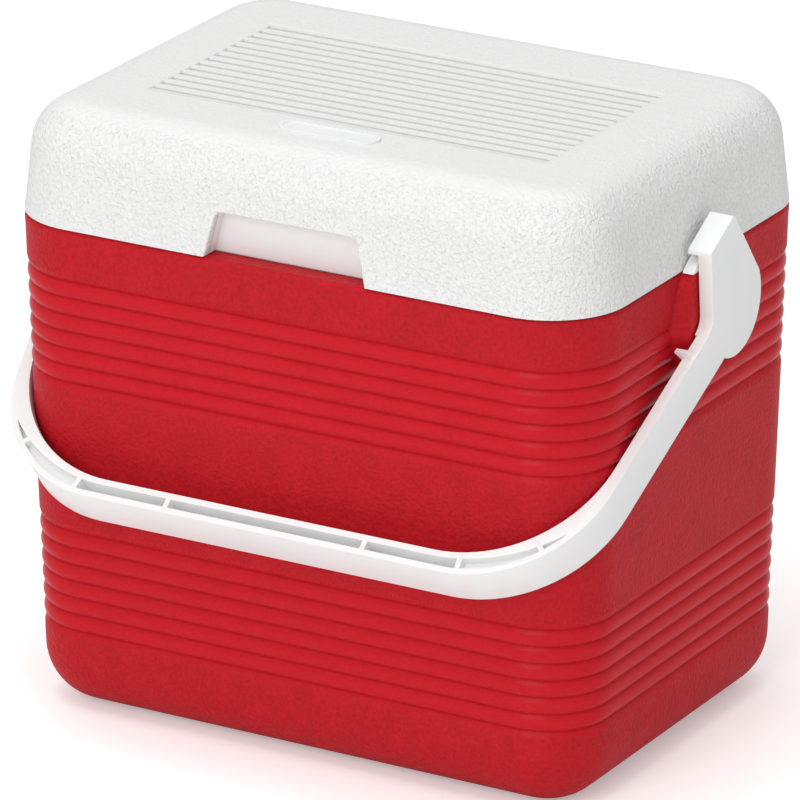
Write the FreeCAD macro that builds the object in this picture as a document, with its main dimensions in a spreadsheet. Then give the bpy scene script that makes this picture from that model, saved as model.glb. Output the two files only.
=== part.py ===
import FreeCAD, Part
import math
import os
import Sketcher

# A small hard ice box: a ribbed outer shell and a white liner with foam between them, a lid that
# lifts off, and a bail handle that swings on two bosses at the ends of the box.
# Frame: millimetres, X along the width, front at -Y, +Z up, origin at the middle of the base.

SIZES = (
    # the body, at its rim
    ("body_width", 330.0),
    ("body_depth", 240.0),
    ("rim_height", 258.4),
    ("corner_radius", 40.6),
    ("wall_draft", 0.031),
    ("base_edge_radius", 31.0),
    ("rim_edge_radius", 3.0),
    ("shell_wall", 3.0),
    ("shell_lip_width", 12.4),
    # the two bands of ribs
    ("rib_pitch", 8.9),
    ("rib_depth", 1.7),
    ("ribs_per_band", 6.0),
    ("upper_band_below_rim", 26.9),
    ("lower_band_top", 98.3),
    # the liner and the foam
    ("liner_wall", 2.2),
    ("side_foam", 19.0),
    ("floor_foam", 20.0),
    ("liner_floor_radius", 8.0),
    ("liner_flange", 2.4),
    ("liner_tongue", 7.0),
    # the lid
    ("seam_gap", 0.5),
    ("lid_height", 57.9),
    ("lid_draft", 0.111),
    ("lid_edge_radius", 25.3),
    ("lid_wall", 2.8),
    ("pan_wall", 2.4),
    ("pan_depth", 12.0),
    ("pan_clearance", 1.2),
    ("pan_floor_radius", 6.0),
    # the finger notch at the front of the lid
    ("notch_bottom_width", 90.0),
    ("notch_top_width", 78.0),
    ("notch_height", 23.5),
    ("notch_depth", 12.0),
    ("notch_corner_radius", 4.0),
    ("notch_edge_radius", 1.0),
    # the stepped panel on top of the lid
    ("panel_side_margin", 53.5),
    ("panel_front_margin", 59.5),
    ("step_pitch", 8.45),
    ("step_length", 6.1),
    ("step_depth", 1.6),
    # the blank oval badge
    ("badge_length", 54.6),
    ("badge_width", 13.8),
    ("badge_margin", 44.8),
    ("badge_rim", 1.7),
    ("badge_height", 1.1),
    ("badge_recess", 0.8),
    ("badge_clearance", 0.1),
    # the pivot bosses and the lugs over them
    ("pivot_below_rim", 23.9),
    ("boss_radius", 32.5),
    ("boss_face_half_width", 25.0),
    ("boss_face_bow", 3.0),
    ("boss_face_below", 31.0),
    ("boss_height", 6.6),
    ("lug_radius", 33.8),
    ("lug_gap", 0.6),
    ("lug_tongue_length", 18.0),
    ("lug_tongue_width", 2.4),
    ("lug_tongue_depth", 5.0),
    ("peg_radius", 7.0),
    ("peg_length", 8.6),
    ("peg_clearance", 0.08),
    ("peg_end_gap", 0.5),
    # the bail
    ("rest_angle", 38.4),
    ("hub_gap", 0.9),
    ("hub_thickness", 7.2),
    ("hub_radius", 26.5),
    ("hub_back", 5.2),
    ("hub_up", 1.5),
    ("hub_front", 17.3),
    ("hub_foot_turn", 4.0),
    ("hub_back_turn", 24.0),
    ("hub_tip_back", 2.7),
    ("hub_tip_up", 48.0),
    ("hub_tip_radius", 1.6),
    ("hub_neck_radius", 9.0),
    ("lip_front", 20.4),
    ("lip_front_up", 35.2),
    ("lip_front_radius", 1.3),
    ("lip_end", 2.2),
    ("lip_reach", 5.6),
    ("lip_clearance", 0.6),
    ("arm_start", 22.0),
    ("hub_length", 46.0),
    ("arm_room", 1.3),
    ("arm_thickness", 6.0),
    ("bar_above", 8.9),
    ("bar_below", 13.9),
    ("grip_room", 4.5),
    ("grip_thickness", 11.1),
    ("outer_bend_room", 28.8),
    ("inner_bend_room", 31.4),
    ("flange_height", 6.0),
    ("web_thickness", 5.0),
    ("web_bend_room", 9.4),
    ("grip_wall", 3.2),
    ("bend_slot_depth", 4.6),
    ("grip_slot_depth", 10.0),
    ("slot_bend_room", 49.4),
    ("slot_overrun", 9.8),
    ("grip_rib", 2.6),
    ("grip_rib_one", 55.3),
    ("grip_rib_two_turn", 7.5),
    ("grip_rib_three_turn", 45.0),
    ("prong_size", 2.4),
    ("prong_height", 3.0),
    ("prong_foot", 5.0),
    ("prong_point_radius", 0.6),
    ("prong_turn", 21.5),
    # the plugs in the two foam filling holes
    ("plug_radius", 9.0),
    ("plug_head_radius", 13.0),
    ("plug_head", 1.4),
    ("plug_clearance", 0.15),
    ("plug_stem", 7.0),
)

ORIGIN = FreeCAD.Vector(0, 0, 0)
X_AXIS = FreeCAD.Vector(1, 0, 0)
Z_AXIS = FreeCAD.Vector(0, 0, 1)
PAST = 5.0  # how far a cutting solid runs past the face that it cuts
CAP_INSET = 0.5  # the flat strip between the arc round a floor and the level cap that closes it
HAIR = 0.0001  # keeps the two arcs at the end of an oval from running into one another
SIDES = (("right", 1), ("left", -1))

document = FreeCAD.newDocument("ice_box")
sheet = document.addObject("Spreadsheet::Sheet", "sizes")
for row, (alias, value) in enumerate(SIZES, start=1):
    sheet.set("A%d" % row, alias)
    sheet.set("B%d" % row, str(value))
    sheet.setAlias("B%d" % row, alias)
document.recompute()


def size(alias):
    """The value of one cell of the sheet."""
    return float(sheet.get(alias))


# ---------------------------------------------------------------- outlines


def trimmed_corner(before, corner, after):
    """Start, middle and end of the arc that rounds a corner (a, b, radius) between two runs."""
    here = FreeCAD.Vector(corner[0], corner[1], 0)
    radius = corner[2]
    if radius == 0:
        return here, None, here
    back = (FreeCAD.Vector(before[0], before[1], 0) - here).normalize()
    ahead = (FreeCAD.Vector(after[0], after[1], 0) - here).normalize()
    half_angle = back.getAngle(ahead) / 2
    inward = (back + ahead).normalize()
    centre = here + inward * (radius / math.sin(half_angle))
    reach = radius / math.tan(half_angle)
    return here + back * reach, centre - inward * radius, here + ahead * reach


def rounded_edges(points, closed):
    """Edges of straight runs joined by tangent arcs; a point is (a, b, radius)."""
    total = len(points)
    corners = []
    for index, point in enumerate(points):
        is_end = not closed and index in (0, total - 1)
        if is_end:
            point = (point[0], point[1], 0)
        corners.append(trimmed_corner(points[index - 1], point, points[(index + 1) % total]))
    edges = []
    for index, (start, middle, end) in enumerate(corners):
        if middle is not None:
            edges.append(Part.Arc(start, middle, end).toShape())
        if closed or index < total - 1:
            following = corners[(index + 1) % total][0]
            if (following - end).Length > 1e-6:
                edges.append(Part.LineSegment(end, following).toShape())
    return edges


def flat_face(points):
    """A face in the XY plane inside a closed outline of (x, y, radius) points."""
    return Part.Face(Part.Wire(rounded_edges(points, True)))


def upright(shape):
    """Turn a shape drawn in XY so that its second coordinate is the height."""
    shape.rotate(ORIGIN, X_AXIS, 90)
    return shape


def side_face(points):
    """A face in the YZ plane at x = 0, from (y, z, radius) points."""
    face = upright(flat_face(points))
    face.rotate(ORIGIN, Z_AXIS, 90)
    return face


# ------------------------------------------- walls carried round the rounded rectangle


def carried(edges, half_x, half_y, radius):
    """The faces that a profile sweeps when it is carried round a rounded rectangle.

    The profile lies in XZ with x measured from the axis of a corner. Each corner turns it by a
    quarter about that axis, and each side moves it straight to the next corner.
    """
    centre_x = half_x - radius
    centre_y = half_y - radius
    centres = ((centre_x, centre_y), (-centre_x, centre_y), (-centre_x, -centre_y), (centre_x, -centre_y))
    profile = Part.Wire(Part.__sortEdges__(edges))
    faces = []
    for index, (x, y) in enumerate(centres):
        here = FreeCAD.Vector(x, y, 0)
        following = FreeCAD.Vector(centres[(index + 1) % 4][0], centres[(index + 1) % 4][1], 0)
        corner = profile.copy()
        corner.rotate(ORIGIN, Z_AXIS, 90 * index)
        corner.translate(here)
        faces += corner.revolve(here, Z_AXIS, 90).Faces
        side = profile.copy()
        side.rotate(ORIGIN, Z_AXIS, 90 * (index + 1))
        side.translate(here)
        faces += side.extrude(following - here).Faces
    return faces


def rounded_plate_face(half_x, half_y, radius, height):
    """A level face inside a rounded rectangle."""
    face = flat_face(
        (
            (half_x, half_y, radius),
            (-half_x, half_y, radius),
            (-half_x, -half_y, radius),
            (half_x, -half_y, radius),
        )
    )
    face.translate(FreeCAD.Vector(0, 0, height))
    return face


def carried_solid(edges, start, end):
    """A closed solid: the carried profile with a level cap at each of its two ends.

    start and end are the ends of the profile, as (offset from the body's plan, height).
    """
    half_x = size("body_width") / 2
    half_y = size("body_depth") / 2
    radius = size("corner_radius")
    shifted = []
    for edge in edges:
        copy = edge.copy()
        copy.translate(FreeCAD.Vector(radius, 0, 0))
        shifted.append(upright(copy))
    faces = carried(shifted, half_x, half_y, radius)
    for offset, height in (start, end):
        faces.append(rounded_plate_face(half_x + offset, half_y + offset, radius + offset, height))
    shell = Part.makeShell(faces)
    shell.sewShape()
    solid = Part.makeSolid(shell)
    if solid.Volume < 0:
        solid.reverse()
    return solid


def from_points(points):
    """A carried solid whose profile is an open outline of (offset, height, radius) points."""
    return carried_solid(rounded_edges(points, False), points[0][:2], points[-1][:2])


# ---------------------------------------------------------------- sizes that follow from others

rim = size("rim_height")
draft = size("wall_draft")
lid_draft = size("lid_draft")
lid_bottom = rim + size("seam_gap")
lid_top = rim + size("lid_height")
half_width = size("body_width") / 2
half_depth = size("body_depth") / 2
pivot = FreeCAD.Vector(0, 0, rim - size("pivot_below_rim"))
band_height = size("ribs_per_band") * size("rib_pitch")
upper_band_top = rim - size("upper_band_below_rim")
panel_half_width = half_width - size("panel_side_margin")
panel_front = half_depth - size("panel_front_margin")
step_total = int(2 * panel_front / size("step_pitch"))
badge_forward = half_depth - size("badge_margin")

foam_outside = -size("shell_wall")
liner_outside = foam_outside - size("side_foam")
liner_inside = liner_outside - size("liner_wall")
foam_floor = size("shell_wall")
liner_floor_outside = foam_floor + size("floor_foam")
liner_floor_inside = liner_floor_outside + size("liner_wall")
tongue_outside = -size("shell_lip_width")
tongue_inside = tongue_outside - size("liner_wall")
flange_bottom = rim - size("liner_flange")

boss_face = half_width + size("boss_height")
lug_inside = half_width + size("lug_gap")
lug_outside = boss_face
hub_inside = boss_face + size("hub_gap")
hub_outside = hub_inside + size("hub_thickness")


def wall_offset(offset, height):
    """How far a wall that is offset at the rim stands from the plan at some height."""
    return offset - draft * (rim - height)


def edge_radius(offset, wanted):
    """The radius of the edge round a level face, as far as the wall's own corner leaves room for it."""
    return min(wanted, size("corner_radius") + offset - 2 * CAP_INSET)


def floor_radius(offset, height, wanted):
    """The edge radius round a floor inside a drafted wall."""
    return edge_radius(wall_offset(offset, height), wanted)


def floor_start(offset, height, wanted):
    """Where the flat of a floor begins, just inside the arc of its edge."""
    return wall_offset(offset, height) - floor_radius(offset, height, wanted) - CAP_INSET


# ---------------------------------------------------------------- the body


def ribbed_edges():
    """The outside of the shell from the base to the rim, with its two bands of ribs."""
    pitch = size("rib_pitch")
    depth = size("rib_depth")
    base_edge = size("base_edge_radius")
    rim_edge = size("rim_edge_radius")
    lower_bottom = size("lower_band_top") - band_height
    upper_bottom = upper_band_top - band_height

    def on_wall(height, inward=0.0):
        return FreeCAD.Vector(wall_offset(-inward, height), height, 0)

    def band(bottom):
        top = bottom + band_height
        edges = [half_rib(bottom, -1)]
        for index in range(int(size("ribs_per_band"))):
            low = bottom + index * pitch
            edges.append(
                Part.Arc(on_wall(low, depth), on_wall(low + pitch / 2), on_wall(low + pitch, depth)).toShape()
            )
        edges.append(half_rib(top, 1))
        return edges

    def half_rib(groove, way):
        """The wall rounds over into the end groove of a band as half a rib."""
        far = on_wall(groove + way * pitch / 2)
        middle = on_wall(groove + way * pitch / 4, depth / 4)
        return Part.Arc(on_wall(groove, depth), middle, far).toShape()

    base_point = on_wall(0)
    foot = rounded_edges(
        (
            (floor_start(0, 0, base_edge), 0, 0),
            (base_point.x, 0, floor_radius(0, 0, base_edge)),
            (wall_offset(0, lower_bottom - pitch / 2), lower_bottom - pitch / 2, 0),
        ),
        False,
    )
    head = rounded_edges(
        (
            (wall_offset(0, upper_band_top + pitch / 2), upper_band_top + pitch / 2, 0),
            (0, rim, rim_edge),
            (-size("shell_lip_width"), rim, 0),
        ),
        False,
    )
    middle_low = on_wall(lower_bottom + band_height + pitch / 2)
    middle_high = on_wall(upper_bottom - pitch / 2)
    plain = Part.LineSegment(middle_low, middle_high).toShape()
    return foot + band(lower_bottom) + [plain] + band(upper_bottom) + head


def cavity_points(offset, floor, radius, top):
    """Profile of a plain cavity with a rounded floor, from its floor up to a height."""
    return (
        (floor_start(offset, floor, radius), floor, 0),
        (wall_offset(offset, floor), floor, floor_radius(offset, floor, radius)),
        (wall_offset(offset, top), top, 0),
    )


def make_shell_blank():
    base_start = (floor_start(0, 0, size("base_edge_radius")), 0)
    inside_radius = size("base_edge_radius") - size("shell_wall")
    inside = list(cavity_points(foam_outside, foam_floor, inside_radius, flange_bottom))
    lip = [
        (-size("shell_lip_width"), flange_bottom, 0),
        (-size("shell_lip_width"), rim, 0),
    ]
    edges = ribbed_edges() + rounded_edges(inside + lip, False)
    return carried_solid(edges, base_start, inside[0][:2])


def boss_outline(x, half_width_at_pivot, half_width_at_top, below):
    """A closed outline at some x: a bowed front and back, a round foot, and a level top at the rim."""
    top = size("pivot_below_rim")

    def at(y, z):
        return pivot + FreeCAD.Vector(x, y, z)

    corners = (
        at(-half_width_at_top, top),
        at(-half_width_at_top, -top),
        at(half_width_at_top, -top),
        at(half_width_at_top, top),
    )
    return Part.Wire(
        (
            Part.Arc(corners[0], at(-half_width_at_pivot, 0), corners[1]).toShape(),
            Part.Arc(corners[1], at(0, -below), corners[2]).toShape(),
            Part.Arc(corners[2], at(half_width_at_pivot, 0), corners[3]).toShape(),
            Part.LineSegment(corners[3], corners[0]).toShape(),
        )
    )


def boss_blank(way):
    """The raised round boss on the end wall, drawn in from a disc at the wall to a narrower face."""
    root = half_width - size("shell_wall")
    radius = size("boss_radius")
    root_top = math.sqrt(radius ** 2 - size("pivot_below_rim") ** 2)
    face = size("boss_face_half_width")
    wires = [
        boss_outline(root, radius, root_top, radius),
        boss_outline(boss_face, face, face - size("boss_face_bow"), size("boss_face_below")),
    ]
    boss = Part.makeLoft(wires, True, True)
    if way < 0:
        boss = boss.mirror(ORIGIN, X_AXIS)
    return boss


def tongue_corner(way):
    """The lowest corner of a lug's tongue, which stands in the middle of the boss's top."""
    middle = way * (half_width + boss_face) / 2
    return FreeCAD.Vector(
        middle - size("lug_tongue_width") / 2,
        -size("lug_tongue_length") / 2,
        rim - size("lug_tongue_depth"),
    )


def make_outer_shell():
    shell = make_shell_blank()
    for _, way in SIDES:
        shell = shell.fuse(boss_blank(way))
        socket_depth = size("peg_length") + size("peg_end_gap") - size("hub_gap")
        socket = Part.makeCylinder(
            size("peg_radius") + size("peg_clearance"),
            socket_depth + PAST,
            pivot + X_AXIS * way * (boss_face - socket_depth),
            X_AXIS * way,
        )
        slot = Part.makeBox(
            size("lug_tongue_width"),
            size("lug_tongue_length"),
            size("lug_tongue_depth") + PAST,
            tongue_corner(way),
        )
        shell = shell.cut([socket, slot])
    hole = Part.makeCylinder(size("plug_radius") + size("plug_clearance"), PAST + foam_floor)
    counterbore = Part.makeCylinder(size("plug_head_radius") + size("plug_clearance"), size("plug_head"))
    return shell.cut([hole, counterbore])


def make_inner_liner():
    radius = size("liner_floor_radius")
    outside = list(cavity_points(liner_outside, liner_floor_outside, radius, flange_bottom))
    inside = list(cavity_points(liner_inside, liner_floor_inside, radius - size("liner_wall"), rim))
    tongue_foot = flange_bottom - size("liner_tongue")
    rim_run = [
        (tongue_inside, flange_bottom, 0),
        (tongue_inside, tongue_foot, 0),
        (tongue_outside, tongue_foot, 0),
        (tongue_outside, rim, 0),
    ]
    return from_points(outside + rim_run + inside[::-1])


def make_body_foam(liner):
    """All of the space between the shell and the liner, up to the underside of the shell's lip."""
    inside_radius = size("base_edge_radius") - size("shell_wall")
    points = list(cavity_points(foam_outside, foam_floor, inside_radius, flange_bottom))
    top_face_edge = points[0][0]
    block = from_points(points + [(top_face_edge, flange_bottom, 0)])
    tub_radius = size("liner_floor_radius") - size("liner_wall")
    tub = list(cavity_points(liner_inside, liner_floor_inside, tub_radius, rim))
    room = from_points(tub + [(tub[0][0], rim, 0)])
    stem = Part.makeCylinder(size("plug_radius") + size("plug_clearance"), size("plug_stem") + foam_floor)
    return block.cut([liner, room, stem])


# ---------------------------------------------------------------- the lid


def lid_points(wall, bottom):
    """Profile of the lid's crown, inset by a wall, from its top cap down to a height."""
    top = lid_top - wall

    def side(height):
        return -wall - lid_draft * (height - rim)

    radius = edge_radius(side(top), size("lid_edge_radius") - wall)
    return (
        (side(top) - radius - CAP_INSET, top, 0),
        (side(top), top, radius),
        (side(bottom), bottom, 0),
    )


def lid_block(wall, bottom):
    points = list(lid_points(wall, bottom))
    return from_points(points + [(points[0][0], bottom, 0)])


def notch_block(grow):
    """The finger notch as a solid, grown on its sides, top and back by a wall."""
    half_bottom = size("notch_bottom_width") / 2 + grow
    half_top = size("notch_top_width") / 2 + grow
    top = rim + size("notch_height") + grow
    radius = size("notch_corner_radius") + grow
    flare = (half_bottom - half_top) / size("notch_height")
    below = PAST
    face = upright(
        flat_face(
            (
                (half_bottom + flare * below, rim - below, 0),
                (half_top, top, radius),
                (-half_top, top, radius),
                (-half_bottom - flare * below, rim - below, 0),
            )
        )
    )
    face.translate(FreeCAD.Vector(0, -half_depth - PAST, 0))
    return face.extrude(FreeCAD.Vector(0, PAST + size("notch_depth") + grow, 0))


def slot_face(length, width, height):
    """A level oval with two straight sides, over the badge's place on the lid."""
    half = length / 2
    side = width / 2
    end = side - HAIR
    face = flat_face(((half, side, end), (-half, side, end), (-half, -side, end), (half, -side, end)))
    face.translate(FreeCAD.Vector(0, -badge_forward, height))
    return face


def panel_steps():
    """Wedges that cut the stepped panel: each starts level at its front and is deepest at its back."""
    wedges = []
    for index in range(step_total):
        front = -panel_front + index * size("step_pitch")
        wedge = side_face(
            (
                (front, lid_top + PAST, 0),
                (front, lid_top, 0),
                (front + size("step_length"), lid_top - size("step_depth"), 0),
                (front + size("step_length"), lid_top + PAST, 0),
            )
        )
        wedge.translate(X_AXIS * -panel_half_width)
        wedges.append(wedge.extrude(X_AXIS * 2 * panel_half_width))
    return wedges


def make_lid_cover():
    blank = lid_block(0, lid_bottom).cut(notch_block(0))
    rim_edges = []
    for edge in blank.Edges:
        box = edge.BoundBox
        at_front = box.YMax < -half_depth + size("notch_depth") / 2
        in_notch = abs(box.XMin) < size("notch_bottom_width") and abs(box.XMax) < size("notch_bottom_width")
        above_foot = box.ZMax > lid_bottom + 1 and box.ZMax < rim + size("notch_height") + 1
        if at_front and in_notch and above_foot:
            rim_edges.append(edge)
    blank = blank.makeFillet(size("notch_edge_radius"), rim_edges)
    room = lid_block(size("lid_wall"), lid_bottom).cut(notch_block(size("lid_wall")))
    recess = slot_face(
        size("badge_length") + 2 * size("badge_clearance"),
        size("badge_width") + 2 * size("badge_clearance"),
        lid_top - size("badge_recess"),
    ).extrude(Z_AXIS * PAST)
    return blank.cut([room, recess] + panel_steps())


def pan_offsets():
    """Offsets of the pan's plug at its outside and inside, and of its flange."""
    plug_outside = liner_inside - size("pan_clearance")
    plug_inside = plug_outside - size("pan_wall")
    flange = -size("lid_wall") - lid_draft * (size("pan_wall") + size("seam_gap"))
    return plug_outside, plug_inside, flange


def make_lid_pan():
    plug_outside, plug_inside, flange = pan_offsets()
    wall = size("pan_wall")
    floor = lid_bottom - size("pan_depth")
    outside = plug_outside - draft * size("pan_depth")
    inside = outside - wall
    outside_radius = edge_radius(outside, size("pan_floor_radius"))
    inside_radius = edge_radius(inside, size("pan_floor_radius") - wall)
    pan = from_points(
        (
            (outside - outside_radius - CAP_INSET, floor, 0),
            (outside, floor, outside_radius),
            (plug_outside, lid_bottom, 0),
            (flange, lid_bottom, 0),
            (flange, lid_bottom + wall, 0),
            (plug_inside, lid_bottom + wall, 0),
            (inside, floor + wall, inside_radius),
            (inside - inside_radius - CAP_INSET, floor + wall, 0),
        )
    )
    hole = Part.makeCylinder(
        size("plug_radius") + size("plug_clearance"), wall + 2 * PAST, FreeCAD.Vector(0, 0, floor - PAST)
    )
    counterbore = Part.makeCylinder(
        size("plug_head_radius") + size("plug_clearance"),
        size("plug_head") + PAST,
        FreeCAD.Vector(0, 0, floor - PAST),
    )
    return pan.cut([notch_block(size("lid_wall")), hole, counterbore])


def make_lid_foam(pan):
    """The space inside the cover, down into the tray of the pan."""
    _, plug_inside, _ = pan_offsets()
    wall = size("pan_wall")
    floor = lid_bottom - size("pan_depth") + wall
    side = plug_inside - draft * size("pan_depth")
    radius = edge_radius(side, size("pan_floor_radius") - wall)
    crown = lid_block(size("lid_wall"), lid_bottom + wall).cut(notch_block(size("lid_wall")))
    start = side - radius - CAP_INSET
    tray = from_points(
        (
            (start, floor, 0),
            (side, floor, radius),
            (plug_inside, lid_bottom + wall, 0),
            (start, lid_bottom + wall, 0),
        )
    )
    stem = Part.makeCylinder(
        size("plug_radius") + size("plug_clearance"),
        size("plug_stem") + wall,
        FreeCAD.Vector(0, 0, floor - wall),
    )
    return crown.fuse(tray).cut([stem])


# ---------------------------------------------------------------- the bail

rest = math.radians(size("rest_angle"))
bar_lowest = size("bar_below") * math.cos(rest)

# The grip's lower inner edge stands clear of the front wall at rest.
grip_inside = (
    half_depth
    + size("grip_room")
    + size("bar_below") * math.sin(rest)
    - draft * (size("pivot_below_rim") + bar_lowest)
) / (math.cos(rest) + draft * math.sin(rest))
bail_reach = grip_inside + size("grip_thickness")

# Each arm leans in as far as the wall beside it allows where the front corner begins.
corner_along = (half_depth - size("corner_radius")) / math.cos(rest)
wall_beside = half_width + wall_offset(0, pivot.z - corner_along * math.sin(rest))
arm_inside = hub_outside - size("arm_thickness")
arm_splay = (arm_inside - wall_beside - size("arm_room")) / (corner_along - size("arm_start"))

outer_bend = size("corner_radius") + size("outer_bend_room")
inner_bend = size("corner_radius") + size("inner_bend_room")
web_bend = size("corner_radius") + size("web_bend_room")


def bail_region(inset, reach, bend):
    """The level area inside the bail: two splayed arms, two bends and the grip."""
    start = size("arm_start")
    near = hub_outside - inset
    far = near - arm_splay * (reach - start)
    return flat_face(((near, -start, 0), (far, -reach, bend), (-far, -reach, bend), (-near, -start, 0)))


def grip_rib(x, turn):
    """A rib across the grip: a block at x, or turned about the centre of the outer bend."""
    thick = size("grip_rib")
    deep = 2 * size("grip_slot_depth")
    corner = FreeCAD.Vector(-thick / 2, -bail_reach, 0)
    block = Part.makeBox(thick, 2 * size("grip_thickness"), deep, corner)
    centre = FreeCAD.Vector(x, -(bail_reach - outer_bend), 0)
    block.translate(FreeCAD.Vector(x, 0, -deep / 2))
    block.rotate(centre, Z_AXIS, turn)
    return block


def bend_centre():
    """Distance of the outer bend's centre from the middle of the grip."""
    at_centre = hub_outside - arm_splay * (bail_reach - outer_bend - size("arm_start"))
    return at_centre - outer_bend / math.cos(math.atan(arm_splay))


def slot_floor(turn):
    """What fills the lower part of the slots beyond a rib, all the way round the right bend."""
    deep = size("grip_slot_depth")
    corner = FreeCAD.Vector(0, -bail_reach, -deep - size("bend_slot_depth"))
    floor = Part.makeBox(half_width, 2 * bail_reach, deep, corner)
    floor.translate(FreeCAD.Vector(bend_centre(), 0, 0))
    floor.rotate(FreeCAD.Vector(bend_centre(), -(bail_reach - outer_bend), 0), Z_AXIS, turn)
    return floor


def grip_slots():
    """The slots in the top of the grip, about height 0: deep along the grip, shallow round the bends.

    Their inner edge has a wider bend than their outer edge, so that each row ends in a point.
    """
    wall = size("grip_wall")
    deep = size("grip_slot_depth")
    slot_bend = size("corner_radius") + size("slot_bend_room")
    row = bail_region(wall, bail_reach - wall, outer_bend - wall).extrude(Z_AXIS * 2 * deep)
    core = bail_region(-size("slot_overrun"), grip_inside + wall, slot_bend)
    row = row.cut(core.extrude(Z_AXIS * 2 * deep))
    row.translate(Z_AXIS * -deep)
    centre = bend_centre()
    ribs = []
    for way in (1, -1):
        ribs.append(grip_rib(way * size("grip_rib_one"), 0))
        ribs.append(grip_rib(way * centre, way * size("grip_rib_two_turn")))
        ribs.append(grip_rib(way * centre, way * size("grip_rib_three_turn")))
    floor = slot_floor(size("grip_rib_two_turn"))
    ribs += [floor, floor.mirror(ORIGIN, X_AXIS)]
    return row.cut(ribs)


def make_u_bar():
    """The bar: a wide flange on top, with slots, and a web that stands clear of the box."""
    outer = bail_region(0, bail_reach, outer_bend)
    inner = bail_region(size("arm_thickness"), grip_inside, inner_bend)
    height = size("bar_above") + size("bar_below")
    under = bail_region(size("web_thickness"), grip_inside, web_bend)
    under_room = under.extrude(Z_AXIS * (height - size("flange_height")))
    bar = outer.extrude(Z_AXIS * height).cut([inner.extrude(Z_AXIS * height), under_room])
    slots = grip_slots()
    slots.translate(Z_AXIS * height)
    bar = bar.cut(slots)
    bar.translate(Z_AXIS * (-size("bar_below")))
    bar.rotate(ORIGIN, X_AXIS, size("rest_angle"))
    return bar


def arm_point(along, above):
    """A point (y, z) of the side view, from its place along and above the arm."""
    y = -along * math.cos(rest) - above * math.sin(rest)
    z = -along * math.sin(rest) + above * math.cos(rest)
    return y, z


def arc_points(radius, start, end, steps):
    """Points on an arc about the hub's centre, in degrees from the back."""
    points = []
    for index in range(steps + 1):
        angle = math.radians(start + (end - start) * index / steps)
        along = size("hub_back") + radius * math.cos(angle)
        points.append((along, size("hub_up") + radius * math.sin(angle)))
    return points


def make_hub_plate():
    """The right hub plate, its lip over the lug, its prong and its peg, about the pivot."""
    radius = size("hub_radius")
    start = size("arm_start")
    lower = arm_point(start, -size("bar_below"))
    upper = arm_point(start, size("bar_above"))
    neck_along = (size("hub_front") - size("bar_above") * math.sin(rest)) / math.cos(rest)
    neck = arm_point(neck_along, size("bar_above"))
    angle_low = math.degrees(math.atan2(lower[1] - size("hub_up"), lower[0] - size("hub_back")))
    disc_start, disc_middle, disc_end = arc_points(
        radius, angle_low + size("hub_foot_turn"), size("hub_back_turn"), 2
    )

    tip = (size("hub_tip_back"), size("hub_tip_up"), size("hub_tip_radius"))
    shoulder = (-size("lip_front"), size("lip_front_up"), size("lip_front_radius"))
    front = rounded_edges(
        (
            (disc_end[0], disc_end[1], 0),
            tip,
            shoulder,
            (neck[0], neck[1], size("hub_neck_radius")),
            (upper[0], upper[1], 0),
            (lower[0], lower[1], 0),
            (disc_start[0], disc_start[1], 0),
        ),
        False,
    )
    disc = Part.Arc(
        FreeCAD.Vector(disc_start[0], disc_start[1], 0),
        FreeCAD.Vector(disc_middle[0], disc_middle[1], 0),
        FreeCAD.Vector(disc_end[0], disc_end[1], 0),
    ).toShape()
    face = Part.Face(Part.Wire(Part.__sortEdges__(front + [disc])))
    upright(face)
    face.rotate(ORIGIN, Z_AXIS, 90)
    plate = face.extrude(X_AXIS * size("hub_thickness"))
    plate.translate(X_AXIS * hub_inside)

    lip_inside = hub_inside - size("lip_reach")
    lip_radius = size("lug_radius") + size("lip_clearance")
    lip_floor = shoulder[1] - size("lip_end")
    climbed = (lip_floor - disc_end[1]) / (tip[1] - disc_end[1])
    lip_back = disc_end[0] + (tip[0] - disc_end[0]) * climbed
    lip = side_face(
        (
            (shoulder[0], lip_floor, 0),
            (0, lip_floor, 0),
            (lip_back, lip_floor, 0),
            tip,
            shoulder,
        )
    )
    lip.translate(X_AXIS * lip_inside)
    lip = lip.extrude(X_AXIS * (size("lip_reach") + size("hub_thickness") / 2))
    swept = Part.makeCylinder(lip_radius, size("lip_reach"), X_AXIS * lip_inside, X_AXIS)
    lip = lip.cut(swept)

    prong = upright(
        flat_face(
            (
                (lip_inside, size("prong_height") / 2, size("prong_point_radius")),
                (hub_inside + size("hub_thickness") / 2, size("prong_height") / 2, 0),
                (hub_inside + size("hub_thickness") / 2, -size("prong_foot"), 0),
                (hub_inside, -size("prong_foot"), 0),
            )
        )
    )
    prong = prong.extrude(FreeCAD.Vector(0, -size("prong_size"), 0))
    prong.translate(FreeCAD.Vector(0, -lip_radius, 0))
    prong.rotate(ORIGIN, X_AXIS, size("prong_turn"))
    peg = Part.makeCylinder(
        size("peg_radius"),
        size("peg_length") + size("hub_thickness") / 2,
        X_AXIS * (hub_inside - size("peg_length")),
        X_AXIS,
    )
    return plate.fuse([lip, prong, peg])


def ahead_of(along):
    """The space further along the resting bail than a distance from the pivot."""
    beyond = 2 * bail_reach
    space = Part.makeBox(
        2 * beyond, beyond, 2 * beyond, FreeCAD.Vector(-beyond, -along - beyond, -beyond)
    )
    space.rotate(ORIGIN, X_AXIS, size("rest_angle"))
    return space


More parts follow.
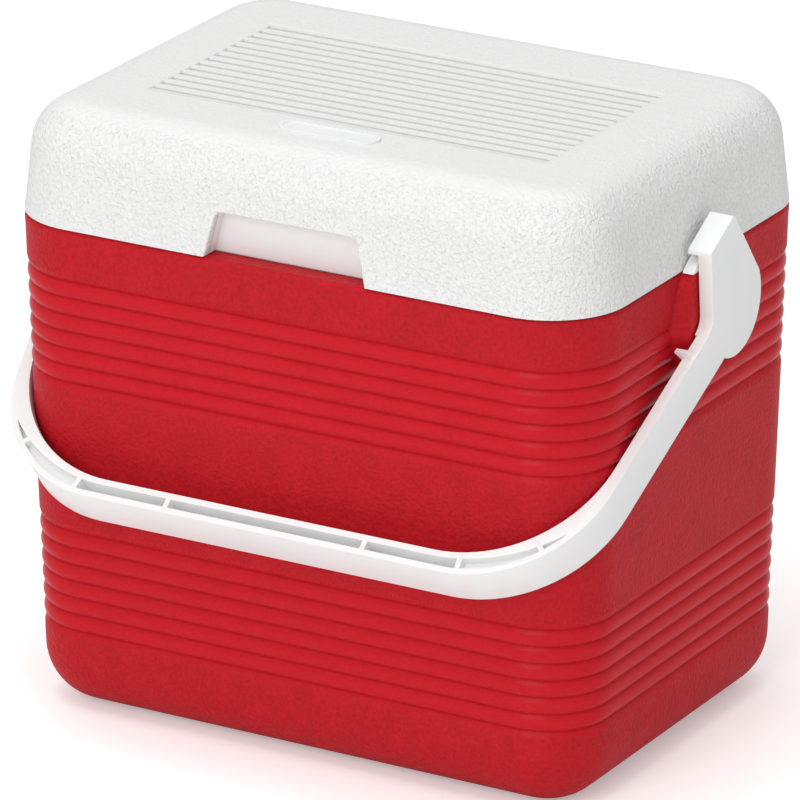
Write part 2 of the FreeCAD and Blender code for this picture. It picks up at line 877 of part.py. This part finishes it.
def make_bail():
    """The bail as its grip, its two arms and its two hubs, parted square across the arms."""
    hub = make_hub_plate()
    bail = make_u_bar().fuse([hub, hub.mirror(ORIGIN, X_AXIS)]).removeSplitter()
    beyond = 2 * bail_reach
    right = Part.makeBox(beyond, 2 * beyond, 2 * beyond, FreeCAD.Vector(0, -beyond, -beyond))
    grip = bail.common(ahead_of(corner_along))
    sides = bail.cut(ahead_of(corner_along))
    arms = sides.common(ahead_of(size("hub_length")))
    hubs = sides.cut(ahead_of(size("hub_length")))
    return grip, arms.common(right), arms.cut(right), hubs.common(right), hubs.cut(right)


# ---------------------------------------------------------------- document objects


def add_feature(label, shape, base=ORIGIN):
    """A sub-part whose shape the functions above worked out from the sheet."""
    feature = document.addObject("Part::Feature", label)
    feature.Label = label
    feature.Shape = shape
    feature.Placement = FreeCAD.Placement(base, FreeCAD.Rotation())
    return feature


def add_body(label, base):
    body = document.addObject("PartDesign::Body", label)
    body.Label = label
    body.Placement = FreeCAD.Placement(base, FreeCAD.Rotation())
    return body


def add_sketch(body, name, height=0.0):
    """A sketch on the body's own level plane, lifted by a height."""
    sketch = body.newObject("Sketcher::SketchObject", name)
    for plane in body.Origin.OriginFeatures:
        if plane.Role == "XY_Plane":
            sketch.AttachmentSupport = [(plane, "")]
    sketch.MapMode = "FlatFace"
    sketch.AttachmentOffset = FreeCAD.Placement(FreeCAD.Vector(0, 0, height), FreeCAD.Rotation())
    return sketch


def bound_circle(sketch, expression):
    """A circle at the sketch's origin whose radius follows the sheet."""
    circle = sketch.addGeometry(Part.Circle(ORIGIN, Z_AXIS, 5.0), False)
    sketch.addConstraint(Sketcher.Constraint("Coincident", circle, 3, -1, 1))
    radius = sketch.addConstraint(Sketcher.Constraint("Radius", circle, 5.0))
    sketch.setExpression("Constraints[%d]" % radius, expression)


def bound_oval(sketch, length, width):
    """Two half circles joined by two level lines, whose length and width follow the sheet."""
    half = 20.0
    end = 5.0
    quarter = math.pi / 2
    right_circle = Part.Circle(FreeCAD.Vector(half, 0, 0), Z_AXIS, end)
    left_circle = Part.Circle(FreeCAD.Vector(-half, 0, 0), Z_AXIS, end)
    right = sketch.addGeometry(Part.ArcOfCircle(right_circle, -quarter, quarter), False)
    left = sketch.addGeometry(Part.ArcOfCircle(left_circle, quarter, 3 * quarter), False)
    top_line = Part.LineSegment(FreeCAD.Vector(half, end, 0), FreeCAD.Vector(-half, end, 0))
    low_line = Part.LineSegment(FreeCAD.Vector(-half, -end, 0), FreeCAD.Vector(half, -end, 0))
    top = sketch.addGeometry(top_line, False)
    low = sketch.addGeometry(low_line, False)
    sketch.addConstraint(Sketcher.Constraint("Tangent", right, 2, top, 1))
    sketch.addConstraint(Sketcher.Constraint("Tangent", top, 2, left, 1))
    sketch.addConstraint(Sketcher.Constraint("Tangent", left, 2, low, 1))
    sketch.addConstraint(Sketcher.Constraint("Tangent", low, 2, right, 1))
    sketch.addConstraint(Sketcher.Constraint("Symmetric", right, 3, left, 3, -1, 1))
    sketch.addConstraint(Sketcher.Constraint("Horizontal", top))
    sketch.addConstraint(Sketcher.Constraint("Equal", right, left))
    radius = sketch.addConstraint(Sketcher.Constraint("Radius", right, end))
    sketch.setExpression("Constraints[%d]" % radius, "(%s) / 2" % width)
    apart = sketch.addConstraint(Sketcher.Constraint("DistanceX", left, 3, right, 3, 2 * half))
    sketch.setExpression("Constraints[%d]" % apart, "(%s) - (%s)" % (length, width))


def add_pad(body, sketch, name, expression):
    pad = body.newObject("PartDesign::Pad", name)
    pad.Profile = sketch
    pad.setExpression("Length", expression)
    return pad


def add_badge():
    """A blank oval with a raised rim, which sits in a recess of the lid."""
    body = add_body("badge", FreeCAD.Vector(0, -badge_forward, lid_top - size("badge_recess")))
    outline = add_sketch(body, "badge_outline")
    bound_oval(outline, "sizes.badge_length", "sizes.badge_width")
    add_pad(body, outline, "badge_plate", "sizes.badge_recess + sizes.badge_height")
    document.recompute()
    dish = add_sketch(body, "badge_dish_outline")
    dish.setExpression("AttachmentOffset.Base.z", "sizes.badge_recess + sizes.badge_height")
    bound_oval(dish, "sizes.badge_length - 2 * sizes.badge_rim", "sizes.badge_width - 2 * sizes.badge_rim")
    pocket = body.newObject("PartDesign::Pocket", "badge_dish")
    pocket.Profile = dish
    pocket.setExpression("Length", "sizes.badge_height / 2")
    return body


def add_fill_plug(label, base):
    """A push-in plug: a flat head with a stem above it."""
    body = add_body(label, base)
    head = add_sketch(body, label + "_head_outline")
    bound_circle(head, "sizes.plug_head_radius")
    add_pad(body, head, label + "_head", "sizes.plug_head")
    document.recompute()
    stem = add_sketch(body, label + "_stem_outline")
    bound_circle(stem, "sizes.plug_radius")
    add_pad(body, stem, label + "_stem", "sizes.plug_stem")
    return body


def add_lug(side, way):
    """The white lug that closes the boss above the rim: a slice of a disc on a tongue."""
    disc = document.addObject("Part::Cylinder", "lug_disc_" + side)
    disc.setExpression("Radius", "sizes.lug_radius")
    disc.Height = lug_outside - lug_inside
    turn = FreeCAD.Rotation(FreeCAD.Vector(0, 1, 0), 90 * way)
    disc.Placement = FreeCAD.Placement(pivot + X_AXIS * way * lug_inside, turn)
    above = document.addObject("Part::Box", "lug_room_" + side)
    above.Length = lug_outside - lug_inside + 2
    above.setExpression("Width", "2 * sizes.lug_radius + 2")
    above.setExpression("Height", "sizes.lug_radius")
    left_edge = lug_inside - 1 if way > 0 else -lug_outside - 1
    above.Placement = FreeCAD.Placement(
        FreeCAD.Vector(left_edge, -size("lug_radius") - 1, rim), FreeCAD.Rotation()
    )
    slice_part = document.addObject("Part::Common", "lug_slice_" + side)
    slice_part.Base = disc
    slice_part.Tool = above
    tongue = document.addObject("Part::Box", "lug_tongue_" + side)
    tongue.setExpression("Length", "sizes.lug_tongue_width")
    tongue.setExpression("Width", "sizes.lug_tongue_length")
    tongue.setExpression("Height", "sizes.lug_tongue_depth + 1")
    tongue.Placement = FreeCAD.Placement(tongue_corner(way), FreeCAD.Rotation())
    lug = document.addObject("Part::Fuse", "pivot_lug_" + side)
    lug.Label = "pivot_lug_" + side
    lug.Base = slice_part
    lug.Tool = tongue
    return lug


# ---------------------------------------------------------------- build, check and write

liner_shape = make_inner_liner()
pan_shape = make_lid_pan()
nodes = [
    add_feature("outer_shell", make_outer_shell()),
    add_feature("inner_liner", liner_shape),
    add_feature("body_foam", make_body_foam(liner_shape)),
    add_fill_plug("base_fill_plug", ORIGIN),
    add_feature("lid_cover", make_lid_cover()),
    add_feature("lid_pan", pan_shape),
    add_feature("lid_foam", make_lid_foam(pan_shape)),
    add_fill_plug("lid_fill_plug", FreeCAD.Vector(0, 0, lid_bottom - size("pan_depth"))),
    add_badge(),
]
bail_labels = ("bail_grip", "bail_arm_right", "bail_arm_left", "bail_hub_right", "bail_hub_left")
for label, shape in zip(bail_labels, make_bail()):
    nodes.append(add_feature(label, shape, pivot))
for side_name, side_way in SIDES:
    nodes.append(add_lug(side_name, side_way))
document.recompute()

faults = []
for item in document.Objects:
    if "Invalid" in item.State or "Error" in item.State:
        faults.append("%s is %s" % (item.Label, item.State))
for node in nodes:
    if node.Shape.isNull() or not node.Shape.isValid():
        faults.append("%s has no valid shape" % node.Label)
    if len(node.Shape.Solids) != 1:
        faults.append("%s has %d solids" % (node.Label, len(node.Shape.Solids)))
if faults:
    raise RuntimeError("; ".join(faults))

os.makedirs("parts", exist_ok=True)
for node in nodes:
    node.Shape.exportStep("parts/%s.step" % node.Label)
    box = node.Shape.BoundBox
    print(
        "%-18s %9.1f mm3  x %7.1f %7.1f  y %7.1f %7.1f  z %7.1f %7.1f"
        % (node.Label, node.Shape.Volume, box.XMin, box.XMax, box.YMin, box.YMax, box.ZMin, box.ZMax)
    )
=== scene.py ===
import math

import bmesh
import bpy
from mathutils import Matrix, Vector


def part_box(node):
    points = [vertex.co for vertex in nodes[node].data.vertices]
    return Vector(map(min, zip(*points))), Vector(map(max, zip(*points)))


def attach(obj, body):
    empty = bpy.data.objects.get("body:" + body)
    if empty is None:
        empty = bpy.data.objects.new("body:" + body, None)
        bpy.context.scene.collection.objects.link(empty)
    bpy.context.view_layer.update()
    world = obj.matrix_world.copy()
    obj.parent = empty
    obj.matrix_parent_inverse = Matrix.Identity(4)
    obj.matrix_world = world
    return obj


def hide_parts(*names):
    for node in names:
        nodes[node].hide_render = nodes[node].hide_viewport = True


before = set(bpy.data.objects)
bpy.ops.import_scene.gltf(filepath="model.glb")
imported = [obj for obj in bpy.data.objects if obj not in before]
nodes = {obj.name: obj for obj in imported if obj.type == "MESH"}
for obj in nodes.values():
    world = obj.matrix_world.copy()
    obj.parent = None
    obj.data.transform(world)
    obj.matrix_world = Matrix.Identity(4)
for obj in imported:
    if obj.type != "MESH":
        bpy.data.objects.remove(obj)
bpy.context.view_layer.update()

# A small hard ice box: a red ribbed body, a white lid with a finger notch, and a white bail handle.
# Metres, X along the width, front at -Y, +Z up, origin at the middle of the base.

MM = 0.001

lid_low, lid_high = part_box("lid_cover")
LID_TOP = lid_high.z
LID_BOTTOM = lid_low.z
LID_FRONT = lid_low.y
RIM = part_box("inner_liner")[1].z

# the two bands of ribs on the body
RIB_PITCH = 8.9 * MM
RIBS_IN_BAND = 6
BAND = RIBS_IN_BAND * RIB_PITCH
BAND_TOPS = (RIM - 26.9 * MM, 98.3 * MM)

# the stepped panel on the lid
PANEL_HALF_WIDTH = 111.5 * MM
PANEL_FRONT = -60.5 * MM
PANEL_BACK = 56.5 * MM
# the feet of its steps lie between these depths under the lid's top; painted shade is drawn there
STEP_FOOT_DEEP = 2.0 * MM
STEP_FOOT_HIGH = 1.25 * MM

# the smooth wall at the back of the finger notch, from the lid's front and bottom
NOTCH_HALF_WIDTH = 46 * MM
NOTCH_HEIGHT = 25 * MM
NOTCH_WALL_NEAR = 6 * MM
NOTCH_WALL_FAR = 13 * MM

# ---------------------------------------------------------------- nodes and colours


def linear(hex_text):
    """Turns an sRGB colour such as "c4242e" to linear red, green and blue, with an alpha of 1."""
    channels = []
    for place in (0, 2, 4):
        value = int(hex_text[place:place + 2], 16) / 255
        channels.append(value / 12.92 if value <= 0.04045 else ((value + 0.055) / 1.055) ** 2.4)
    return (*channels, 1.0)


def add_node(tree, kind, settings=(), inputs=()):
    """Adds a node, sets its properties, and fills its inputs with values or another node's output."""
    node = tree.nodes.new(kind)
    for name, value in dict(settings).items():
        setattr(node, name, value)
    for name, value in dict(inputs).items():
        if isinstance(value, bpy.types.NodeSocket):
            tree.links.new(value, node.inputs[name])
        else:
            node.inputs[name].default_value = value
    return node


def new_material(name, roughness=0.5, ior=1.49, specular=0.5):
    """An opaque plastic, polypropylene by its IOR; returns the material, its tree and its shader."""
    material = bpy.data.materials.new(name)
    material.use_nodes = True
    tree = material.node_tree
    tree.nodes.clear()
    shader = add_node(
        tree,
        "ShaderNodeBsdfPrincipled",
        inputs={"Roughness": roughness, "IOR": ior, "Specular IOR Level": specular},
    )
    add_node(tree, "ShaderNodeOutputMaterial", inputs={"Surface": shader.outputs["BSDF"]})
    return material, tree, shader


def math_node(tree, operation, first, second=0.0, third=0.0):
    """One step of arithmetic on numbers or sockets; returns its output."""
    node = add_node(
        tree, "ShaderNodeMath", {"operation": operation}, {0: first, 1: second, 2: third}
    )
    return node.outputs[0]


def object_place(tree):
    """The point's own place in the object, in metres."""
    return add_node(tree, "ShaderNodeTexCoord").outputs["Object"]


def along_axes(tree, place):
    """The x, y and z of a place."""
    return add_node(tree, "ShaderNodeSeparateXYZ", inputs={0: place}).outputs[:3]


def between(tree, value, low, high, soft):
    """1 where a value lies between two limits, falling to 0 over a soft edge outside them."""
    rise = add_node(
        tree,
        "ShaderNodeMapRange",
        {"interpolation_type": "SMOOTHSTEP"},
        {"Value": value, "From Min": low - soft, "From Max": low},
    )
    fall = add_node(
        tree,
        "ShaderNodeMapRange",
        {"interpolation_type": "SMOOTHSTEP"},
        {"Value": value, "From Min": high, "From Max": high + soft, "To Min": 1.0, "To Max": 0.0},
    )
    return math_node(tree, "MULTIPLY", rise.outputs[0], fall.outputs[0])


def noise(tree, place, grain, detail=2.0, distortion=0.0):
    """Noise whose lumps are about as wide as the grain, in metres; from 0 to 1."""
    node = add_node(
        tree,
        "ShaderNodeTexNoise",
        {"noise_dimensions": "3D"},
        {"Vector": place, "Scale": 1 / grain, "Detail": detail, "Distortion": distortion},
    )
    return node.outputs["Fac"]


def grooves(tree, z, top):
    """1 in the grooves between the ribs of a band, whose top is given, and 0 on the ribs.

    The groove lies where the drop from the top is a whole number of pitches. Its painted shade fades out
    between 0.03 and 0.13 of a pitch from there.
    """
    pitches = math_node(tree, "DIVIDE", math_node(tree, "SUBTRACT", z, top), RIB_PITCH)
    away = math_node(tree, "PINGPONG", pitches, 0.5)
    node = add_node(
        tree,
        "ShaderNodeMapRange",
        {"interpolation_type": "SMOOTHSTEP"},
        {"Value": away, "From Min": 0.03, "From Max": 0.13, "To Min": 1.0, "To Max": 0.0},
    )
    return node.outputs[0]


def blended(tree, factor, first, second):
    """A colour between two colours or colour sockets, by a factor."""
    node = add_node(
        tree,
        "ShaderNodeMix",
        {"data_type": "RGBA"},
        {"Factor": factor, "A": first, "B": second},
    )
    return node.outputs["Result"]


def mixed(tree, factor, first, second):
    """A colour between two hex colours, by a factor."""
    return blended(tree, factor, linear(first), linear(second))


def bumped(tree, shader, strength, distance, height):
    """Tilts the shader's normal by a height from 0 to 1, as if 1 stood out by the distance."""
    bump = add_node(
        tree,
        "ShaderNodeBump",
        inputs={"Strength": strength, "Distance": distance, "Height": height},
    )
    tree.links.new(bump.outputs["Normal"], shader.inputs["Normal"])


# ---------------------------------------------------------------- materials


def grained_red_polypropylene():
    """Coloured polypropylene from a spark-eroded tool.

    The plain zones have a fine matt grain. The ribs are nearly smooth and drawn a little brighter as
    a painted sheen, and the grooves between them are darkened with painted shade.
    """
    material, tree, shader = new_material("grained_red_polypropylene", specular=0.09)
    place = object_place(tree)
    x, y, z = along_axes(tree, place)
    bands = [between(tree, z, top - BAND, top, RIB_PITCH / 2) for top in BAND_TOPS]
    ribbed = math_node(tree, "ADD", *bands)
    plain = math_node(tree, "SUBTRACT", 1.0, ribbed)
    # the grain of the tool is about 0.5 mm, drawn at 1.8 mm so that it shows
    grain = noise(tree, place, 1.8 * MM, detail=3.0)
    # the colour also drifts slowly, over lumps of about 14 mm
    lumps = noise(tree, place, 14 * MM)
    both = math_node(tree, "MULTIPLY_ADD", grain, 0.7, math_node(tree, "MULTIPLY", lumps, 0.3))
    tone = math_node(tree, "MULTIPLY_ADD", both, 2.0, -0.5)
    plain_colour = mixed(tree, tone, "ac1a22", "cd202b")
    # the ribs are drawn a little brighter than the plain zones: a painted sheen
    rib_colour_with_painted_sheen = mixed(tree, tone, "c01b25", "cd202c")
    banded = blended(tree, ribbed, plain_colour, rib_colour_with_painted_sheen)
    # the grooves are darkened with painted shade, a dark red mixed in at up to 0.22
    groove_shade_per_band = [
        math_node(tree, "MULTIPLY", grooves(tree, z, top), band) for top, band in zip(BAND_TOPS, bands)
    ]
    painted_groove_shade = math_node(tree, "MULTIPLY", math_node(tree, "ADD", *groove_shade_per_band), 0.22)
    colour = blended(tree, painted_groove_shade, banded, mixed(tree, tone, "6f1017", "7c141b"))
    tree.links.new(colour, shader.inputs["Base Color"])
    # roughness 0.27 on the ribs and 0.45 on the plain zones
    rough = math_node(tree, "MULTIPLY_ADD", plain, 0.18, 0.27)
    tree.links.new(rough, shader.inputs["Roughness"])
    # the ribs keep 0.15 of the grain's depth
    depth = math_node(tree, "MULTIPLY_ADD", plain, 0.85, 0.15)
    bumped(tree, shader, 1.0, 0.9 * MM, math_node(tree, "MULTIPLY", grain, depth))
    return material


def orange_peel_white_polypropylene():
    """White polypropylene whose tool was left with a coarse orange peel.

    The panel and the wall of the notch are smooth, and the peel is shallower on the level top.
    """
    material, tree, shader = new_material("orange_peel_white_polypropylene", roughness=0.45)
    place = object_place(tree)
    x, y, z = along_axes(tree, place)
    across = between(tree, x, -PANEL_HALF_WIDTH, PANEL_HALF_WIDTH, 1.5 * MM)
    along = between(tree, y, PANEL_FRONT, PANEL_BACK, 1.5 * MM)
    panel = math_node(tree, "MULTIPLY", across, along)
    behind = between(tree, y, LID_FRONT + NOTCH_WALL_NEAR, LID_FRONT + NOTCH_WALL_FAR, 1 * MM)
    under = between(tree, z, LID_BOTTOM, LID_BOTTOM + NOTCH_HEIGHT, 1 * MM)
    beside = between(tree, x, -NOTCH_HALF_WIDTH, NOTCH_HALF_WIDTH, 1 * MM)
    notch = math_node(tree, "MULTIPLY", math_node(tree, "MULTIPLY", behind, under), beside)
    smooth = math_node(tree, "MAXIMUM", panel, notch)
    # the peel is worn down to 0.4 of its depth on the level top
    level = between(tree, z, LID_TOP - 1 * MM, LID_TOP + 1 * MM, 7 * MM)
    worn = math_node(tree, "MULTIPLY_ADD", level, -0.6, 1.0)
    textured = math_node(tree, "MULTIPLY", math_node(tree, "SUBTRACT", 1.0, smooth), worn)
    # the peel's lumps are about 2 mm apart, with specks between them
    peel = noise(tree, place, 1.9 * MM, distortion=0.6)
    speck = noise(tree, place, 1.0 * MM, detail=1.0)
    height = math_node(tree, "MULTIPLY_ADD", speck, 0.25, peel)
    uneven = math_node(tree, "MULTIPLY_ADD", math_node(tree, "SUBTRACT", peel, 0.5), textured, 0.5)
    unshaded_peel_colour = mixed(tree, uneven, "e9e9e9", "f3f3f2")
    # the foot of each step of the panel is darkened with painted shade
    deep = between(tree, z, LID_TOP - STEP_FOOT_DEEP, LID_TOP - STEP_FOOT_HIGH, 0.25 * MM)
    step_foot_shade_mask = math_node(tree, "MULTIPLY", deep, panel)
    painted_step_shade = mixed(tree, uneven, "cdcdcc", "d6d6d5")
    tree.links.new(blended(tree, step_foot_shade_mask, unshaded_peel_colour, painted_step_shade), shader.inputs["Base Color"])
    bumped(tree, shader, 1.0, 1.6 * MM, math_node(tree, "MULTIPLY", height, textured))
    return material


def satin_white_polypropylene():
    """White polypropylene from a polished tool: smooth, with the faint unevenness of cooling."""
    material, tree, shader = new_material("satin_white_polypropylene")
    place = object_place(tree)
    flow = noise(tree, place, 18 * MM)
    fine = noise(tree, place, 1.2 * MM)
    tree.links.new(mixed(tree, flow, "eeefef", "f4f5f5"), shader.inputs["Base Color"])
    # roughness from 0.29 to 0.39
    rough = math_node(tree, "MULTIPLY_ADD", fine, 0.10, 0.29)
    tree.links.new(rough, shader.inputs["Roughness"])
    bumped(tree, shader, 0.15, 0.05 * MM, fine)
    return material


def glossy_white_polystyrene():
    """The liner: white high-impact polystyrene, vacuum formed, with a soft gloss."""
    material, tree, shader = new_material("glossy_white_polystyrene", ior=1.59)
    flow = noise(tree, object_place(tree), 25 * MM)
    tree.links.new(mixed(tree, flow, "e8e9ea", "f0f1f1"), shader.inputs["Base Color"])
    # roughness from 0.18 to 0.28
    rough = math_node(tree, "MULTIPLY_ADD", flow, 0.10, 0.18)
    tree.links.new(rough, shader.inputs["Roughness"])
    return material


def poured_polyurethane_foam():
    """Rigid polyurethane foam, foamed in place: pale yellow closed cells, drawn 1 mm wide."""
    material, tree, shader = new_material("poured_polyurethane_foam", roughness=0.9, specular=0.2)
    cells = add_node(
        tree,
        "ShaderNodeTexVoronoi",
        inputs={"Vector": object_place(tree), "Scale": 1 / (1.0 * MM)},
    ).outputs["Distance"]
    tree.links.new(mixed(tree, cells, "cdb87f", "e9dcb2"), shader.inputs["Base Color"])
    bumped(tree, shader, 0.5, 0.3 * MM, cells)
    return material


# ---------------------------------------------------------------- pieces

# how the bail lies at rest: its pivot, and how far it droops in front of it
PIVOT = Vector((0.0, 0.0, RIM - 23.9 * MM))
BAIL_DROOP = math.radians(38.4)
BAIL_PARTS = ("bail_grip", "bail_arm_right", "bail_arm_left", "bail_hub_right", "bail_hub_left")
# where its sub-parts are parted, along the resting bail from the pivot
BAIL_PARTINGS = (46.0 * MM, 79.4 * MM / math.cos(BAIL_DROOP))
# how near two corners are, or a corner and a parting, to count as one
NEAR_CORNER = 0.005 * MM
NEAR_PARTING = 0.02 * MM
# faces that turn by less than this are one flat face, and edges that turn by more are rounded
FLAT_WITHIN = math.radians(0.3)
EDGE_FROM = math.radians(32)
EDGE_SEGMENTS = 3
BAIL_EDGE = 0.8 * MM
LUG_EDGE = 0.7 * MM


def joined_copy(node_names):
    """The meshes of some CAD nodes as one mesh, with equal corners made one."""
    joined = bmesh.new()
    for node_name in node_names:
        joined.from_mesh(nodes[node_name].data)
    bmesh.ops.remove_doubles(joined, verts=joined.verts, dist=NEAR_CORNER)
    return joined


def drop_partings(joined, axis, distances):
    """Takes away the faces that lie on the partings, which are square to an axis through the pivot."""
    buried = []
    for face in joined.faces:
        reaches = [(corner.co - PIVOT).dot(axis) for corner in face.verts]
        if any(all(abs(reach - distance) < NEAR_PARTING for reach in reaches) for distance in distances):
            buried.append(face)
    bmesh.ops.delete(joined, geom=buried, context="FACES")


def finished_piece(name, joined, material, edge):
    """Makes an object of a joined mesh: flat faces made whole, and the moulded edges rounded."""
    bmesh.ops.dissolve_limit(
        joined, angle_limit=FLAT_WITHIN, verts=joined.verts, edges=joined.edges
    )
    mesh = bpy.data.meshes.new(name)
    joined.to_mesh(mesh)
    joined.free()
    mesh.materials.append(material)
    mesh.shade_smooth()
    piece = bpy.data.objects.new(name, mesh)
    bpy.context.scene.collection.objects.link(piece)
    bevel = piece.modifiers.new("moulded edges", "BEVEL")
    bevel.width = edge
    bevel.segments = EDGE_SEGMENTS
    bevel.limit_method = "ANGLE"
    bevel.angle_limit = EDGE_FROM
    bevel.use_clamp_overlap = True
    bevel.harden_normals = True
    return piece


def make_bail(material):
    """The whole bail in one seamless piece, with every edge rounded as a mould leaves it."""
    joined = joined_copy(BAIL_PARTS)
    along = Vector((0.0, -math.cos(BAIL_DROOP), -math.sin(BAIL_DROOP)))
    drop_partings(joined, along, BAIL_PARTINGS)
    bmesh.ops.remove_doubles(joined, verts=joined.verts, dist=NEAR_PARTING)
    piece = finished_piece("bail", joined, material, BAIL_EDGE)
    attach(piece, "bail")
    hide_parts(*BAIL_PARTS)


def make_lug(side, material):
    """One white lug over a boss, with its edges rounded."""
    node_name = "pivot_lug_" + side
    piece = finished_piece("lug_" + side, joined_copy((node_name,)), material, LUG_EDGE)
    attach(piece, "body")
    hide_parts(node_name)


RED = grained_red_polypropylene()
PEEL = orange_peel_white_polypropylene()
SATIN = satin_white_polypropylene()
LINER = glossy_white_polystyrene()
FOAM = poured_polyurethane_foam()

finishes = {
    "outer_shell": RED,
    "base_fill_plug": RED,
    "lid_cover": PEEL,
    "badge": SATIN,
    "bail_grip": SATIN,
    "bail_arm_right": SATIN,
    "bail_arm_left": SATIN,
    "bail_hub_right": SATIN,
    "bail_hub_left": SATIN,
    "pivot_lug_right": SATIN,
    "pivot_lug_left": SATIN,
    "inner_liner": LINER,
    "lid_pan": LINER,
    "lid_fill_plug": LINER,
    "body_foam": FOAM,
    "lid_foam": FOAM,
}
for name, material in finishes.items():
    for slot in nodes[name].material_slots:
        slot.material = material
make_bail(SATIN)
make_lug("right", SATIN)
make_lug("left", SATIN)

# ---------------------------------------------------------------- floor, light and camera


def make_floor():
    """A plain pale square floor, 28 m wide."""
    reach = 14.0
    corners = [(-reach, -reach, 0), (reach, -reach, 0), (reach, reach, 0), (-reach, reach, 0)]
    mesh = bpy.data.meshes.new("floor")
    mesh.from_pydata(corners, [], [(0, 1, 2, 3)])
    floor = bpy.data.objects.new("floor", mesh)
    bpy.context.scene.collection.objects.link(floor)
    material, tree, shader = new_material("pale_floor", roughness=0.9, specular=0.1)
    shader.inputs["Base Color"].default_value = linear("fafafa")
    # the floor is seen as bright as the backdrop, without lighting the object more
    seen = add_node(tree, "ShaderNodeLightPath").outputs["Is Camera Ray"]
    shader.inputs["Emission Color"].default_value = linear("ffffff")
    tree.links.new(math_node(tree, "MULTIPLY", seen, 0.3), shader.inputs["Emission Strength"])
    mesh.materials.append(material)


def aim(thing, target):
    """Turns a lamp or camera so that it looks at a point."""
    thing.rotation_mode = "QUATERNION"
    thing.rotation_quaternion = (target - thing.location).to_track_quat("-Z", "Y")


def direction(azimuth, elevation):
    """The unit vector towards an azimuth, from the front towards +X, and an elevation, in degrees."""
    turn = math.radians(azimuth)
    rise = math.radians(elevation)
    return Vector((math.sin(turn) * math.cos(rise), -math.cos(turn) * math.cos(rise), math.sin(rise)))


def add_softbox(name, azimuth, elevation, distance, side, power, target):
    """A square area lamp at a direction and distance from a point of the object."""
    lamp = bpy.data.lights.new(name, "AREA")
    lamp.shape = "SQUARE"
    lamp.size = side
    lamp.energy = power
    thing = bpy.data.objects.new(name, lamp)
    bpy.context.scene.collection.objects.link(thing)
    thing.location = target + direction(azimuth, elevation) * distance
    aim(thing, target)


def make_world(strength):
    """Even light from all round, and a near-white background where the camera sees past the floor."""
    world = bpy.data.worlds.new("studio")
    bpy.context.scene.world = world
    world.use_nodes = True
    tree = world.node_tree
    tree.nodes.clear()
    seen = add_node(tree, "ShaderNodeLightPath").outputs["Is Camera Ray"]
    light = add_node(
        tree, "ShaderNodeBackground", inputs={"Color": linear("ffffff"), "Strength": strength}
    )
    backdrop = add_node(
        tree, "ShaderNodeBackground", inputs={"Color": linear("ffffff"), "Strength": 1.0}
    )
    mix = add_node(
        tree,
        "ShaderNodeMixShader",
        inputs={0: seen, 1: light.outputs[0], 2: backdrop.outputs[0]},
    )
    add_node(tree, "ShaderNodeOutputWorld", inputs={"Surface": mix.outputs[0]})


CAMERA_AZIMUTH = 29.985
CAMERA_ELEVATION = 20.577
CAMERA_DISTANCE = 4.0192
CAMERA_LENS = 364.3
CAMERA_TARGET = Vector((-0.0043, 0.0, 0.1538))


def make_camera():
    """A long lens, level, a little above the lid and to the right of the front."""
    data = bpy.data.cameras.new("camera")
    data.lens = CAMERA_LENS
    data.sensor_width = 36.0
    data.clip_start = 0.1
    data.clip_end = 100.0
    camera = bpy.data.objects.new("camera", data)
    bpy.context.scene.collection.objects.link(camera)
    camera.location = CAMERA_TARGET + direction(CAMERA_AZIMUTH, CAMERA_ELEVATION) * CAMERA_DISTANCE
    aim(camera, CAMERA_TARGET)
    bpy.context.scene.camera = camera


middle = Vector((0.0, 0.0, RIM / 2))
make_floor()
make_world(strength=0.60)
add_softbox("key", azimuth=4.0, elevation=27.0, distance=3.0, side=1.6, power=25.0, target=middle)
add_softbox("top", azimuth=-10.0, elevation=80.0, distance=3.0, side=2.0, power=29.0, target=middle)
make_camera()
bpy.context.scene.view_settings.view_transform = "Standard"
